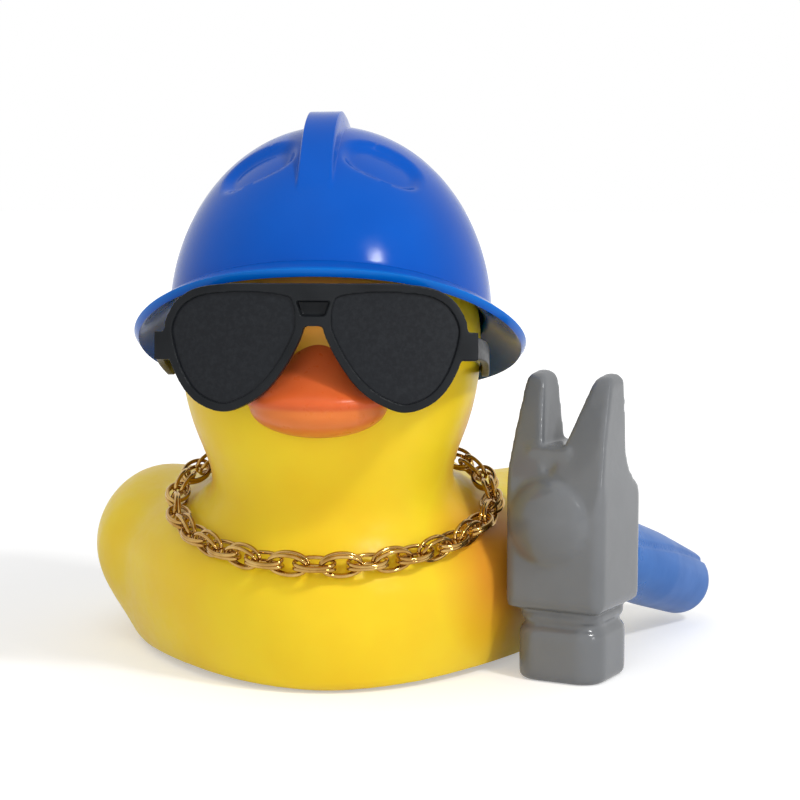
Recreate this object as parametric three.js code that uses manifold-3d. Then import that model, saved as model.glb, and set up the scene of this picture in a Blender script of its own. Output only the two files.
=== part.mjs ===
// Squeaky bath duck dressed for work: hard hat, sunglasses, neck chain and a toy claw hammer.
// Millimetres, +Z up. The duck looks along -Y and its flat base is centred on the origin.
import * as THREE from 'three';
import { mergeVertices } from 'three/addons/utils/BufferGeometryUtils.js';
import Module from 'manifold-3d';

const wasm = await Module();
wasm.setup();

// Duck moulding: an egg-shaped body, a tall head, wings and a tail in one blown skin
const bodyWidth = 79;
const bodyLength = 84;
const bodyFromBaseToWidest = 16;
const bodyAboveWidest = 16;
const bodyRoundnessBelow = 35;
const chestTaper = 0.36;
const headWidth = 48.8;
const headDepth = 47.6;
const headWidestHeight = 54;
const headAboveWidest = 31;
const headBelowWidest = 32;
const headSetForward = 20;
const wingLength = 34;
const wingHeight = 22;
const wingThickness = 20;
const wingReach = 43.4;
const wingCentreHeight = 17;
const wingSetBack = 13;
const wingSweepUp = 8;
const wingTurnIn = 9;
const tailLength = 36;
const tailWidth = 30;
const tailThickness = 14;
const tailTilt = 38;
const tailSetBack = 33;
const tailHeight = 29;
const neckFillet = 8;
const wingFillet = 7;
const tailFillet = 12;
const baseFillet = 2;
const skinThickness = 1.8;
const ventDiameter = 3;
const ventSetBack = 14;
const skinRings = 38;
const skinSegments = 48;
const liningRings = 18;
const liningSegments = 24;

// Beak: a flat upper bill rising to a root between the eyes, over a rounder lower bill
const billWidth = 24;
const billLength = 20;
const billThickness = 6;
const billHeight = 48.2;
const billRootWidth = 14;
const billRootRise = 5.5;
const lowerBillWidth = 20.5;
const lowerBillLength = 15;
const lowerBillThickness = 9;
const lowerBillDrop = 3.6;

// Hard hat: a domed shell with a rolled-out brim, a comb and two dished panels
const hatClearance = 0.45;
const hatWall = 1.3;
const hatLongerThanWide = 4;
const hatDomeHeight = 31.4;
const hatTilt = 23;
const hatYaw = 2.5;
const hatSeatHeight = 58.3;
const hatSetBack = 1;
const brimSide = 5.6;
const brimFront = 4.2;
const brimBack = 6.2;
const brimDroop = 2.2;
const brimSideDroop = 2.4;
const combWidth = 6.2;
const combTopWidth = 4.2;
const combHeight = 0.9;
const combEndAngle = 66;
const combFullness = 2.8;
const panelWidth = 13;
const panelLength = 10;
const panelDepth = 0.9;
const panelOffAxis = 26;
const panelForward = 24;
const hatSegments = 36;

// Sunglasses: one moulding with aviator rims, keyhole bridge, end blocks and side arms
const lensRimHeight = 19;
const lensRimReach = 22.8;
const rimWidth = 1.35;
const frameThickness = 2.2;
const frameWrapRadius = 62;
const frameCentreHeight = 56.4;
const frameForward = 50.3;
const frameLean = 4;
const keyholeTopWidth = 4.8;
const keyholeBottomWidth = 3.2;
const keyholeHeight = 2.2;
const topBarHeight = 2.2;
const noseBarHeight = 1.6;
const endBlockHeight = 4.2;
const endBlockReach = 2.2;
const armHeight = 3.4;
const armThickness = 1.1;
const armLength = 40;
const armDrop = 8.5;
const armClearance = 0.3;
const earHookDrop = 3;
const lensThickness = 1.1;
const lensRecess = 0.5;
const lensClearance = 0.2;

// Neck chain: double oval rings, each pair threaded through the next
const linkLength = 6.5;
const linkHeight = 3.9;
const linkWire = 0.8;
const linkPitch = 4.3;
const chainCentreHeight = 20.5;
const chainCentreSetBack = 12;
const chainFrontAngle = 2;
const chainSideAngle = 21;
const chainBackAngle = 53;
const chainLift = 0.45;
const linkTwist = 45;
const linkArcSteps = 8;

// Toy claw hammer standing on its striking face beside the wing
const hammerBlockWidth = 17.2;
const hammerBlockDepth = 17.2;
const hammerBlockHeight = 19;
const hammerEdgeRound = 1.8;
const pollWidth = 15;
const pollCornerRound = 4;
const pollHeight = 8.8;
const pollBevel = 0.8;
const neckWidth = 13;
const neckHeight = 3;
const clawHeight = 19.2;
const clawNotchDepth = 16;
const clawNotchOffset = -1.2;
const clawTipGap = 8.8;
const clawNotchWidth = 2;
const clawSweep = 5.9;
const clawBackStep = 5.9;
const clawTaper = 1.1;
const bossDiameter = 12.4;
const bossRise = 1.9;
const bossHeight = 26.2;
const handleSlope = 18;
const handleBelowBoss = 1;
const handleYaw = 25;
const handleLength = 41;
const handleDiameter = 13.4;
const handleEndDiameter = 12;
const handleSocketDepth = 6;
const handleSpigotDiameter = 9;
const hammerRight = 39.6;
const hammerForward = 22;

const seatGap = 0.3;
const weldReach = 0.06;
const radians = THREE.MathUtils.degToRad;
const vector = (x, y, z) => new THREE.Vector3(x, y, z);

// Solids: closed meshes in and out of the boolean library
function toSolid(geometry) {
  const bare = geometry.clone();
  bare.deleteAttribute('normal');
  bare.deleteAttribute('uv');
  const merged = mergeVertices(bare, 1e-4);
  return new wasm.Manifold(new wasm.Mesh({
    numProp: 3,
    vertProperties: new Float32Array(merged.attributes.position.array),
    triVerts: new Uint32Array(merged.index.array),
  }));
}

// Corners closer than the weld reach are drawn into one, so that no sliver faces are left
function toGeometry(solid) {
  const mesh = solid.getMesh();
  const kept = [];
  const keptAs = [];
  for (let i = 0; i < mesh.vertProperties.length; i += 3) {
    const corner = vector(...mesh.vertProperties.slice(i, i + 3));
    const near = kept.findIndex((other) => other.distanceTo(corner) < weldReach);
    keptAs.push(near < 0 ? kept.push(corner) - 1 : near);
  }
  const index = [];
  for (let i = 0; i < mesh.triVerts.length; i += 3) {
    const [a, b, c] = mesh.triVerts.slice(i, i + 3);
    const corners = [keptAs[a], keptAs[b], keptAs[c]];
    if (new Set(corners).size === 3) index.push(...corners);
  }
  const geometry = new THREE.BufferGeometry().setFromPoints(kept);
  geometry.setIndex(index);
  geometry.computeVertexNormals();
  return geometry;
}

// Forms: distances from eggs, blended with fillets
function eggDistance(point, centre, half, halfBelow = half.z) {
  const offset = point.clone().sub(centre);
  const tall = offset.z < 0 ? halfBelow : half.z;
  const near = vector(offset.x / half.x, offset.y / half.y, offset.z / tall).length();
  const steep = vector(offset.x / half.x ** 2, offset.y / half.y ** 2, offset.z / tall ** 2).length();
  return steep < 1e-9 ? -half.z : near * (near - 1) / steep;
}

function blend(a, b, fillet) {
  const share = Math.max(fillet - Math.abs(a - b), 0) / fillet;
  return Math.min(a, b) - share * share * fillet / 4;
}

function slopeAt(field, point, reach) {
  const rise = (x, y, z) => {
    const offset = vector(x, y, z).multiplyScalar(reach);
    return (field(point.clone().add(offset)) - field(point.clone().sub(offset))) / (2 * reach);
  };
  return vector(rise(1, 0, 0), rise(0, 1, 0), rise(0, 0, 1));
}

function surfaceAlong(field, start, outward) {
  const spot = start.clone();
  for (let pass = 0; pass < 90; pass++) {
    spot.addScaledVector(outward, THREE.MathUtils.clamp(-0.8 * field(spot), -4, 4));
  }
  return spot;
}

const rayDirection = (turn, rise) => vector(
  Math.cos(turn) * Math.cos(rise),
  Math.sin(turn) * Math.cos(rise),
  Math.sin(rise),
);

// Duck
const turnedOffset = (point, centre, degreesUp, degreesIn = 0) => {
  const turned = point.clone().sub(centre).applyAxisAngle(vector(0, 0, 1), -radians(degreesIn));
  return turned.applyAxisAngle(vector(1, 0, 0), -radians(degreesUp)).add(centre);
};

const bodyCentre = vector(0, 0, bodyFromBaseToWidest);
const headCentre = vector(0, -headSetForward, headWidestHeight);
const wingCentre = vector(wingReach - wingThickness / 2, wingSetBack, wingCentreHeight);
const tailCentre = vector(0, tailSetBack, tailHeight);

function duckForm(point) {
  const mirrored = vector(Math.abs(point.x), point.y, point.z);
  const chest = 1 + chestTaper * Math.max(-point.y, 0) / (bodyLength / 2);
  const body = eggDistance(
    vector(mirrored.x * chest, point.y, point.z),
    bodyCentre,
    vector(bodyWidth / 2, bodyLength / 2, bodyAboveWidest),
    bodyRoundnessBelow,
  );
  const head = eggDistance(
    point,
    headCentre,
    vector(headWidth / 2, headDepth / 2, headAboveWidest),
    headBelowWidest,
  );
  const wing = eggDistance(
    turnedOffset(mirrored, wingCentre, wingSweepUp, wingTurnIn),
    wingCentre,
    vector(wingThickness / 2, wingLength / 2, wingHeight / 2),
  );
  const tail = eggDistance(
    turnedOffset(point, tailCentre, tailTilt),
    tailCentre,
    vector(tailWidth / 2, tailLength / 2, tailThickness / 2),
  );
  return blend(blend(blend(body, wing, wingFillet), tail, tailFillet), head, neckFillet);
}

// The skin is spun from rings of rays whose start climbs from the belly to the head
const bellyCentre = vector(0, -3, 14);
const bellyShare = 0.5;
const neckShare = 0.18;
const waistAngle = 40;
const waistLean = 17;
const chinAngle = -15;

function skinRay(share, turn) {
  const waist = waistAngle + waistLean * Math.sin(turn);
  if (share <= bellyShare) {
    const opened = Math.sqrt(share / bellyShare);
    return { start: bellyCentre, rise: -90 + (waist + 90) * opened };
  }
  const climbed = Math.min((share - bellyShare) / neckShare, 1);
  const crown = Math.max((share - bellyShare - neckShare) / (1 - bellyShare - neckShare), 0);
  const rise = waist + (chinAngle - waist) * climbed + (90 - chinAngle) * crown;
  return { start: bellyCentre.clone().lerp(headCentre, climbed), rise };
}

function spunSkin(form, floor, rings, segments) {
  const seated = (point) => -blend(-form(point), point.z - floor, baseFillet);
  const spots = [];
  const index = [];
  const ringStart = (ring) => 1 + (ring - 1) * segments;
  const addSpot = (share, turn) => {
    const { start, rise } = skinRay(share, turn);
    const spot = surfaceAlong(seated, start, rayDirection(turn, radians(rise)));
    spots.push(spot.x, spot.y, Math.abs(spot.z - floor) < 1e-3 ? floor : spot.z);
  };
  addSpot(0, 0);
  for (let ring = 1; ring < rings; ring++) {
    for (let i = 0; i < segments; i++) addSpot(ring / rings, i / segments * 2 * Math.PI);
  }
  addSpot(1, 0);
  const top = ringStart(rings);
  for (let i = 0; i < segments; i++) {
    const next = (i + 1) % segments;
    index.push(0, 1 + next, 1 + i);
    for (let ring = 1; ring < rings - 1; ring++) {
      const a = ringStart(ring);
      const b = ringStart(ring + 1);
      index.push(a + i, a + next, b + next, a + i, b + next, b + i);
    }
    index.push(ringStart(rings - 1) + i, ringStart(rings - 1) + next, top);
  }
  const geometry = new THREE.BufferGeometry();
  geometry.setAttribute('position', new THREE.Float32BufferAttribute(spots, 3));
  geometry.setIndex(index);
  return geometry;
}

const billFaceY = -headSetForward - headDepth / 2;
function bill(width, length, thickness, height, rootRise) {
  const shape = new THREE.SphereGeometry(1, 24, 12).scale(width / 2, length / 2, thickness / 2);
  const spots = shape.attributes.position;
  for (let i = 0; i < spots.count; i++) {
    const across = 2 * spots.getX(i) / billRootWidth;
    const back = THREE.MathUtils.smoothstep(spots.getY(i), -length / 2, length / 8);
    const lift = Math.max(spots.getZ(i), 0) / (thickness / 2) * rootRise * back * Math.exp(-across * across);
    spots.setZ(i, spots.getZ(i) + lift);
  }
  return toSolid(shape.translate(0, billFaceY, height));
}

const skin = toSolid(spunSkin(duckForm, 0, skinRings, skinSegments));
const lining = toSolid(spunSkin(
  (point) => duckForm(point) + skinThickness,
  skinThickness,
  liningRings,
  liningSegments,
));
const upperBill = bill(billWidth, billLength, billThickness, billHeight, billRootRise);
const lowerBill = bill(lowerBillWidth, lowerBillLength, lowerBillThickness, billHeight - lowerBillDrop, 0);
const vent = new THREE.CylinderGeometry(ventDiameter / 2, ventDiameter / 2, 4 * skinThickness, 12);
vent.rotateX(Math.PI / 2).translate(0, ventSetBack, skinThickness);
const duckSolid = skin.add(upperBill).add(lowerBill).subtract(lining).subtract(toSolid(vent));

// Hat: lathe profiles warped to the oval plan, in the hat's own upright frame
const hatInsideHalf = headWidth / 2 + hatClearance;
const hatOutsideHalf = hatInsideHalf + hatWall;
const hatPlanRatio = (hatOutsideHalf + hatLongerThanWide / 2) / hatOutsideHalf;

function brimReach(angle) {
  const forward = -Math.sin(angle);
  const along = forward > 0 ? brimFront : brimBack;
  return brimSide + (along - brimSide) * Math.abs(forward) ** 2;
}

function warpToPlan(geometry) {
  const spots = geometry.attributes.position;
  for (let i = 0; i < spots.count; i++) {
    const x = spots.getX(i);
    const y = spots.getY(i);
    const radius = Math.hypot(x, y);
    const beyond = Math.max(radius - hatOutsideHalf, 0);
    const domeShare = radius > 0 ? (radius - beyond) / radius : 1;
    const angle = Math.atan2(y, x);
    const reach = beyond / brimSide * brimReach(angle);
    const outward = vector(Math.cos(angle), Math.sin(angle), 0);
    const sideways = Math.cos(angle) ** 2 * beyond / brimSide;
    spots.setZ(i, spots.getZ(i) - brimSideDroop * sideways);
    spots.setX(i, x * domeShare + outward.x * reach);
    spots.setY(i, y * domeShare * hatPlanRatio + outward.y * reach);
  }
  return geometry;
}

function domeCurve(half, height, steps) {
  const points = [];
  for (let i = 0; i <= steps; i++) {
    const turn = i / steps * Math.PI / 2;
    points.push(new THREE.Vector2(half * Math.sin(turn), height * Math.cos(turn)));
  }
  return points;
}

const domeSteps = 9;
const brimEdgeRadius = hatWall / 2;
const brimUnder = brimSide - brimEdgeRadius;
const shellProfile = [
  ...domeCurve(hatOutsideHalf, hatDomeHeight, domeSteps).slice(0, -1),
  new THREE.Vector2(hatOutsideHalf + 0.1, hatWall * 0.9),
  new THREE.Vector2(hatOutsideHalf + 1.2, 0),
  new THREE.Vector2(hatOutsideHalf + brimUnder * 0.6, -brimDroop * 0.4),
  new THREE.Vector2(hatOutsideHalf + brimUnder, -brimDroop * 0.75),
  new THREE.Vector2(hatOutsideHalf + brimSide, -brimDroop * 0.75 - brimEdgeRadius),
  new THREE.Vector2(hatOutsideHalf + brimUnder, -brimDroop * 0.75 - hatWall),
  new THREE.Vector2(hatOutsideHalf + brimUnder * 0.6, -brimDroop * 0.4 - hatWall),
  new THREE.Vector2(hatInsideHalf + 0.8, -hatWall),
  new THREE.Vector2(0, -hatWall),
];
const domeLining = domeCurve(hatInsideHalf, hatDomeHeight - hatWall, domeSteps).slice(0, -1);
const hollowProfile = [
  ...domeLining,
  new THREE.Vector2(hatInsideHalf, 0),
  new THREE.Vector2(hatInsideHalf + 1.4, -hatWall - 0.4),
  new THREE.Vector2(0, -hatWall - 0.4),
];

function lathe(profile, segments) {
  const ordered = profile[0].y > profile.at(-1).y ? [...profile].reverse() : profile;
  return new THREE.LatheGeometry(ordered, segments).rotateX(Math.PI / 2);
}

const dome = toSolid(warpToPlan(lathe(shellProfile, hatSegments)));
const hollow = toSolid(warpToPlan(lathe(hollowProfile, hatSegments)));

const combEnd = radians(combEndAngle);
const combEndY = hatOutsideHalf * hatPlanRatio * Math.sin(combEnd);
const combEndZ = hatDomeHeight * Math.cos(combEnd);
const combTopZ = hatDomeHeight + combHeight;
const combHalfY = combEndY / (1 - (combEndZ / combTopZ) ** combFullness) ** (1 / combFullness);
const combRound = (combWidth - combTopWidth) / 2;
const combSteps = 26;
const combOutline = new THREE.Shape(Array.from({ length: combSteps + 1 }, (_, i) => {
  const turn = i / combSteps * Math.PI;
  const along = Math.sign(Math.cos(turn)) * Math.abs(Math.cos(turn)) ** (2 / combFullness);
  const up = Math.sin(turn) ** (2 / combFullness);
  return new THREE.Vector2(along * (combHalfY - combRound), up * (combTopZ - combRound));
}));
const comb = new THREE.ExtrudeGeometry(combOutline, {
  depth: combTopWidth,
  bevelThickness: combRound,
  bevelSize: combRound,
  bevelSegments: 3,
});
comb.translate(0, 0, -combTopWidth / 2).rotateY(Math.PI / 2).rotateX(Math.PI / 2);

function hatPanel(side) {
  const forward = radians(panelForward);
  const across = radians(panelOffAxis) * side;
  const normal = vector(Math.sin(across) * Math.cos(forward), -Math.sin(forward), Math.cos(across) * Math.cos(forward));
  const surface = vector(
    normal.x * hatOutsideHalf,
    normal.y * hatOutsideHalf * hatPlanRatio,
    normal.z * hatDomeHeight,
  );
  const dish = new THREE.SphereGeometry(1, 20, 12).scale(panelWidth / 2, panelLength / 2, panelDepth * 2);
  dish.applyQuaternion(new THREE.Quaternion().setFromUnitVectors(vector(0, 0, 1), normal));
  dish.translate(surface.x + normal.x * panelDepth, surface.y + normal.y * panelDepth, surface.z + normal.z * panelDepth);
  return toSolid(dish);
}

const hatSolid = dome.add(toSolid(comb)).subtract(hollow).subtract(hatPanel(1)).subtract(hatPanel(-1));

// Sunglasses, drawn flat with the bridge at the origin and then wrapped round the face
const rimCorners = [
  [0.06, 0.32], [0.1, 0.46], [0.17, 0.62], [0.28, 0.8], [0.42, 0.93], [0.6, 1], [0.8, 0.9],
  [0.93, 0.68], [1, 0.38], [0.96, 0.2], [0.86, 0.07], [0.7, 0.0], [0.4, -0.02], [0.14, 0.02], [0.07, 0.14],
];

function rimOutline(inset) {
  const curve = new THREE.CatmullRomCurve3(
    rimCorners.map(([x, z]) => vector(x * lensRimReach, -z * lensRimHeight, 0)),
    true,
  );
  const count = 30;
  const outline = [];
  for (let i = 0; i < count; i++) {
    const spot = curve.getPointAt(i / count);
    const along = curve.getTangentAt(i / count);
    outline.push(new THREE.Vector2(spot.x - along.y * inset, spot.y + along.x * inset));
  }
  return outline;
}

function plate(outline, thickness, front) {
  const shape = new THREE.Shape(outline);
  return new THREE.ExtrudeGeometry(shape, { depth: thickness, bevelEnabled: false }).translate(0, 0, front);
}

const mirrorX = (outline) => outline.map((spot) => new THREE.Vector2(-spot.x, spot.y)).reverse();

function cutOutline(topY, bottomY, topHalf, bottomHalf) {
  return [
    new THREE.Vector2(-bottomHalf, bottomY),
    new THREE.Vector2(bottomHalf, bottomY),
    new THREE.Vector2(topHalf, topY),
    new THREE.Vector2(-topHalf, topY),
  ];
}

function wrapRound(geometry) {
  const spots = geometry.attributes.position;
  for (let i = 0; i < spots.count; i++) {
    const bend = spots.getX(i) / frameWrapRadius;
    const reach = frameWrapRadius + spots.getZ(i);
    spots.setX(i, reach * Math.sin(bend));
    spots.setZ(i, reach * Math.cos(bend) - frameWrapRadius);
  }
  geometry.computeVertexNormals();
  return geometry;
}

const barTop = 0.02 * lensRimHeight;
const keyholeTop = -topBarHeight;
const keyholeBottom = keyholeTop - keyholeHeight;
const bridgeOutline = cutOutline(barTop, keyholeBottom - noseBarHeight, lensRimReach * 0.42, lensRimReach * 0.1);
const keyhole = cutOutline(keyholeTop, keyholeBottom, keyholeTopWidth / 2, keyholeBottomWidth / 2);
const blockTop = -0.37 * lensRimHeight;
const blockOutline = cutOutline(blockTop, blockTop - endBlockHeight, endBlockReach / 2, endBlockReach / 2)
  .map((spot) => new THREE.Vector2(spot.x + lensRimReach + endBlockReach / 2 - 0.6, spot.y));

const flatPlate = (outline) => toSolid(plate(outline, frameThickness, 0));
const holeCutter = (outline) => toSolid(plate(outline, frameThickness * 3, -frameThickness));
let frontSolid = flatPlate(rimOutline(0)).add(flatPlate(mirrorX(rimOutline(0)))).add(flatPlate(bridgeOutline));
frontSolid = frontSolid.add(flatPlate(blockOutline)).add(flatPlate(mirrorX(blockOutline)));
frontSolid = frontSolid.subtract(holeCutter(rimOutline(rimWidth))).subtract(holeCutter(mirrorX(rimOutline(rimWidth))));
frontSolid = frontSolid.subtract(holeCutter(keyhole));
const frontWrapped = toSolid(wrapRound(toGeometry(frontSolid)));

// The side arms run back under the brim, down the sides of the head, and hook behind it
const blockBend = (lensRimReach + endBlockReach - 0.6 - armThickness / 2) / frameWrapRadius;
const armStartX = frameWrapRadius * Math.sin(blockBend);
const armStartZ = frameWrapRadius * (Math.cos(blockBend) - 1) + frameThickness / 2;
const armMiddleY = blockTop - endBlockHeight / 2;
const armSideX = Math.max(headWidth / 2 + armClearance + armThickness / 2, armStartX);

function armSolid(side) {
  const route = new THREE.CatmullRomCurve3([
    vector(armStartX, armMiddleY, armStartZ),
    vector(armSideX, armMiddleY - armDrop * 0.15, armStartZ - armLength * 0.25),
    vector(armSideX, armMiddleY - armDrop * 0.5, armStartZ - armLength * 0.55),
    vector(armSideX - 1, armMiddleY - armDrop * 0.8, armStartZ - armLength * 0.82),
    vector(armSideX - 2.4, armMiddleY - armDrop - earHookDrop, armStartZ - armLength),
  ]);
  const section = new THREE.Shape([
    new THREE.Vector2(-armHeight / 2, -armThickness / 2),
    new THREE.Vector2(armHeight / 2, -armThickness / 2),
    new THREE.Vector2(armHeight / 2, armThickness / 2),
    new THREE.Vector2(-armHeight / 2, armThickness / 2),
  ]);
  const frames = 14;
  const spots = [];
  const index = [];
  const corners = section.getPoints();
  for (let i = 0; i <= frames; i++) {
    const centre = route.getPointAt(i / frames);
    const along = route.getTangentAt(i / frames);
    const outward = vector(1, 0, 0).addScaledVector(along, -along.x).normalize();
    const upward = along.clone().cross(outward).normalize();
    const taper = 1 - 0.35 * i / frames;
    for (const corner of corners) {
      const spot = centre.clone().addScaledVector(upward, corner.x * taper).addScaledVector(outward, corner.y);
      spots.push(spot.x * side, spot.y, spot.z);
    }
  }
  const count = corners.length;
  const face = (a, b, c) => (side > 0 ? index.push(a, c, b) : index.push(a, b, c));
  for (let i = 0; i < frames; i++) {
    for (let j = 0; j < count; j++) {
      const a = i * count + j;
      const b = i * count + (j + 1) % count;
      face(a, b, b + count);
      face(a, b + count, a + count);
    }
  }
  face(0, 2, 1);
  face(0, 3, 2);
  const last = frames * count;
  face(last, last + 1, last + 2);
  face(last, last + 2, last + 3);
  const geometry = new THREE.BufferGeometry();
  geometry.setAttribute('position', new THREE.Float32BufferAttribute(spots, 3));
  geometry.setIndex(index);
  return toSolid(geometry);
}

const glassesSolid = frontWrapped.add(armSolid(1)).add(armSolid(-1));
const lensPlate = (outline) => wrapRound(plate(outline, lensThickness, frameThickness - lensRecess - lensThickness));

// Neck chain
function chainPoint(turn) {
  const middle = (chainFrontAngle + chainBackAngle) / 2;
  const rise = middle + (chainBackAngle - chainFrontAngle) / 2 * Math.sin(turn)
    + (chainSideAngle - middle) * Math.cos(turn) ** 2;
  const start = vector(0, chainCentreSetBack - headSetForward, chainCentreHeight);
  const hung = (point) => duckForm(point) - linkSpread - chainLift;
  return surfaceAlong(hung, start, rayDirection(turn, radians(rise)));
}

const linkHalfWide = linkWire * 0.95;
const twist = radians(linkTwist);
const linkSpread = linkHeight / 2 * Math.sin(twist) + linkHalfWide * Math.cos(twist);
const routeStops = 40;
const chainRoute = new THREE.CatmullRomCurve3(
  Array.from({ length: routeStops }, (_, i) => chainPoint(i / routeStops * 2 * Math.PI)),
  true,
);
const linkCount = 2 * Math.round(chainRoute.getLength() / linkPitch / 2);

// Two rings side by side, swept as one figure-of-eight wire round the oval
function doubleRing() {
  const wire = linkWire / 2;
  const apart = linkHalfWide - wire;
  const section = [];
  for (const side of [1, -1]) {
    for (const angle of [-54, 0, 54, 126]) {
      const turn = radians(side > 0 ? angle : angle + 180);
      section.push([apart * side + wire * Math.cos(turn), wire * Math.sin(turn)]);
    }
  }
  const straight = (linkLength - linkHeight) / 2;
  const bendRadius = linkHeight / 2 - wire;
  const spots = [];
  for (let i = 0; i < linkArcSteps; i++) {
    const turn = (i + 0.5) / linkArcSteps * 2 * Math.PI;
    const shift = straight * Math.sign(Math.cos(turn));
    for (const [sideways, out] of section) {
      const radius = bendRadius + out;
      spots.push(shift + radius * Math.cos(turn), radius * Math.sin(turn), sideways);
    }
  }
  const index = [];
  const around = section.length;
  for (let i = 0; i < linkArcSteps; i++) {
    for (let j = 0; j < around; j++) {
      const a = i * around + j;
      const b = i * around + (j + 1) % around;
      const c = ((i + 1) % linkArcSteps) * around + (j + 1) % around;
      const d = ((i + 1) % linkArcSteps) * around + j;
      index.push(a, b, c, a, c, d);
    }
  }
  const geometry = new THREE.BufferGeometry();
  geometry.setAttribute('position', new THREE.Float32BufferAttribute(spots, 3));
  geometry.setIndex(index);
  return geometry;
}

function linkPlace(number) {
  const centre = chainRoute.getPointAt(number / linkCount);
  const along = chainRoute.getTangentAt(number / linkCount);
  const grade = slopeAt(duckForm, centre, linkWire / 2);
  const out = grade.addScaledVector(along, -grade.dot(along)).normalize();
  const side = out.clone().cross(along);
  const placed = new THREE.Matrix4().makeBasis(along, side, out).setPosition(centre);
  const roll = new THREE.Matrix4().makeRotationX(number % 2 ? twist : -twist);
  return placed.multiply(roll);
}

// Hammer head, upright on its striking face, front towards -Y
const blockBottom = pollHeight + neckHeight;
const blockTopZ = blockBottom + hammerBlockHeight;
const tipZ = blockTopZ + clawHeight;
const notchZ = tipZ - clawNotchDepth;
const backY = hammerBlockDepth / 2;
const halfBlock = hammerBlockWidth / 2;

// Side profile: block below, claws swept back above, drawn as depth against height
function sideProfile() {
  const shape = new THREE.Shape();
  shape.moveTo(-backY + hammerEdgeRound, blockBottom);
  shape.lineTo(backY - hammerEdgeRound, blockBottom);
  shape.quadraticCurveTo(backY, blockBottom, backY, blockBottom + hammerEdgeRound);
  shape.lineTo(backY, blockTopZ - 3);
  shape.quadraticCurveTo(backY, blockTopZ, backY - clawBackStep * 0.6, blockTopZ + 2);
  shape.quadraticCurveTo(backY - clawBackStep, blockTopZ + 4, backY - clawBackStep, blockTopZ + 7);
  shape.lineTo(backY - clawBackStep + 0.6, tipZ - 1.5);
  shape.quadraticCurveTo(backY - clawBackStep, tipZ, backY - clawBackStep - 1.8, tipZ);
  shape.lineTo(-backY + clawSweep + 1, tipZ - 0.6);
  shape.quadraticCurveTo(-backY + clawSweep, tipZ - 1, -backY + clawSweep - 0.4, tipZ - 2.5);
  shape.quadraticCurveTo(-backY, blockTopZ + 4, -backY, blockTopZ - 3);
  shape.lineTo(-backY, blockBottom + hammerEdgeRound);
  shape.quadraticCurveTo(-backY, blockBottom, -backY + hammerEdgeRound, blockBottom);
  return shape;
}

// Front profile: the block narrows into two claws with a V between them
function frontProfile() {
  const tipOuter = halfBlock - clawTaper;
  const tipInner = clawTipGap / 2;
  const shape = new THREE.Shape();
  shape.moveTo(-halfBlock + hammerEdgeRound, blockBottom);
  shape.lineTo(halfBlock - hammerEdgeRound, blockBottom);
  shape.quadraticCurveTo(halfBlock, blockBottom, halfBlock, blockBottom + hammerEdgeRound);
  shape.lineTo(halfBlock, blockTopZ);
  shape.lineTo(tipOuter, tipZ - 1.6);
  shape.quadraticCurveTo(tipOuter, tipZ, (tipOuter + tipInner) / 2, tipZ);
  shape.quadraticCurveTo(tipInner, tipZ, tipInner - 0.3, tipZ - 1.8);
  shape.lineTo(clawNotchOffset + clawNotchWidth / 2, notchZ + 0.8);
  shape.quadraticCurveTo(clawNotchOffset, notchZ - 0.8, clawNotchOffset - clawNotchWidth / 2, notchZ + 0.8);
  shape.lineTo(-tipInner + 0.3, tipZ - 1.8);
  shape.quadraticCurveTo(-tipInner, tipZ, -(tipOuter + tipInner) / 2, tipZ);
  shape.quadraticCurveTo(-tipOuter, tipZ, -tipOuter, tipZ - 1.6);
  shape.lineTo(-halfBlock, blockTopZ);
  shape.lineTo(-halfBlock, blockBottom + hammerEdgeRound);
  shape.quadraticCurveTo(-halfBlock, blockBottom, -halfBlock + hammerEdgeRound, blockBottom);
  return shape;
}

const profileSteps = { bevelEnabled: false, curveSegments: 3 };
const sideBlock = new THREE.ExtrudeGeometry(sideProfile(), { ...profileSteps, depth: hammerBlockWidth });
sideBlock.translate(0, 0, -halfBlock).applyMatrix4(new THREE.Matrix4().makeBasis(
  vector(0, 1, 0), vector(0, 0, 1), vector(1, 0, 0),
));
const frontBlock = new THREE.ExtrudeGeometry(frontProfile(), { ...profileSteps, depth: hammerBlockDepth * 2 });
frontBlock.translate(0, 0, -hammerBlockDepth).rotateX(Math.PI / 2);
function roundedSquare(width, depth, round) {
  const plan = new THREE.Shape();
  for (const [side, back, start] of [[1, -1, -90], [1, 1, 0], [-1, 1, 90], [-1, -1, 180]]) {
    const x = side * (width / 2 - round);
    const y = back * (depth / 2 - round);
    plan.absarc(x, y, round, radians(start), radians(start + 90), false);
  }
  return plan;
}

const planShape = roundedSquare(hammerBlockWidth, hammerBlockDepth, hammerEdgeRound);
const planBlock = new THREE.ExtrudeGeometry(planShape, { ...profileSteps, depth: tipZ }).translate(0, 0, 1);
const pollShape = roundedSquare(
  pollWidth - 2 * pollBevel,
  pollWidth - 2 * pollBevel,
  pollCornerRound - pollBevel,
);
const poll = new THREE.ExtrudeGeometry(pollShape, {
  depth: pollHeight - 2 * pollBevel,
  bevelThickness: pollBevel,
  bevelSize: pollBevel,
  bevelSegments: 2,
  curveSegments: 5,
}).translate(0, 0, pollBevel);
const neckShape = roundedSquare(neckWidth, neckWidth, pollCornerRound - (pollWidth - neckWidth) / 2);
const neck = new THREE.ExtrudeGeometry(neckShape, {
  depth: neckHeight + 2 * pollBevel,
  bevelEnabled: false,
  curveSegments: 5,
}).translate(0, 0, pollHeight - pollBevel);

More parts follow.
